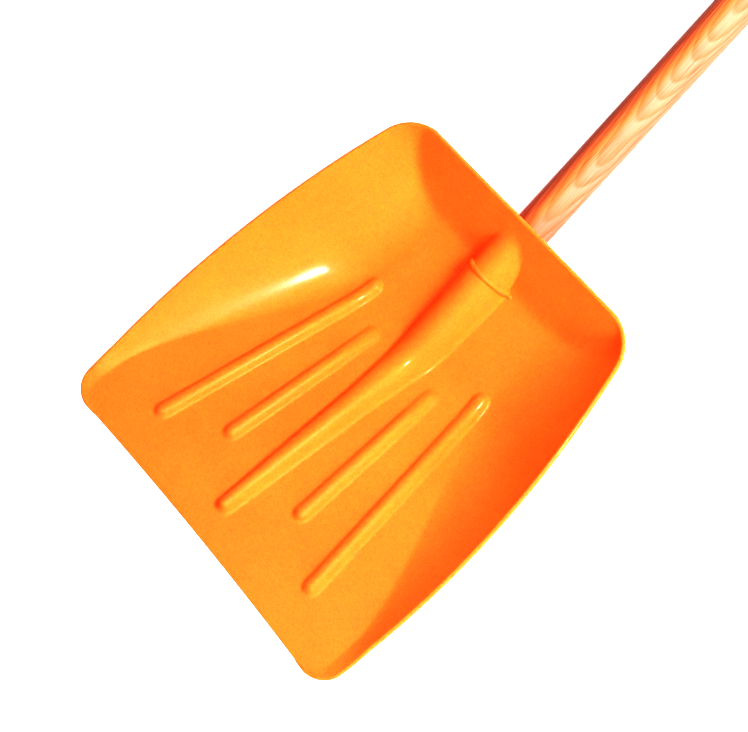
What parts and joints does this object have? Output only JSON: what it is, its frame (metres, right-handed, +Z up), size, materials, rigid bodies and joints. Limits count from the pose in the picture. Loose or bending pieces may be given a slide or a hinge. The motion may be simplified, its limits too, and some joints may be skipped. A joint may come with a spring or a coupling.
{
  "type": "avalanche shovel",
  "caption": "Wide moulded scoop shovel with raised sides, stiffening ribs and a socketed wooden shaft that ends in a D-grip, lying on its back.",
  "frame": {"origin": "on the ground, under the middle of the object's box, with the shovel lying on its back", "axes": "+Y along the shaft from the scoop to the grip, +Z up out of the scoop's mouth, +X to the right"},
  "size_m": [0.3634, 1.0862, 0.1332],
  "materials": {
    "orange_plastic": "satin-gloss moulded polypropylene",
    "ash_wood": "oiled ash",
    "zinc_steel": "zinc plated"
  },
  "bodies": {
    "root": {"blade": "orange_plastic", "grip_yoke": "orange_plastic", "shaft": "ash_wood", "grip_bar": "ash_wood", "grip_rod": "zinc_steel", "rod_washer_left": "zinc_steel", "rod_washer_right": "zinc_steel", "socket_screw_front": "zinc_steel", "socket_screw_rear": "zinc_steel", "yoke_screw_top": "zinc_steel", "yoke_screw_bottom": "zinc_steel"}
  },
  "joints": []
}
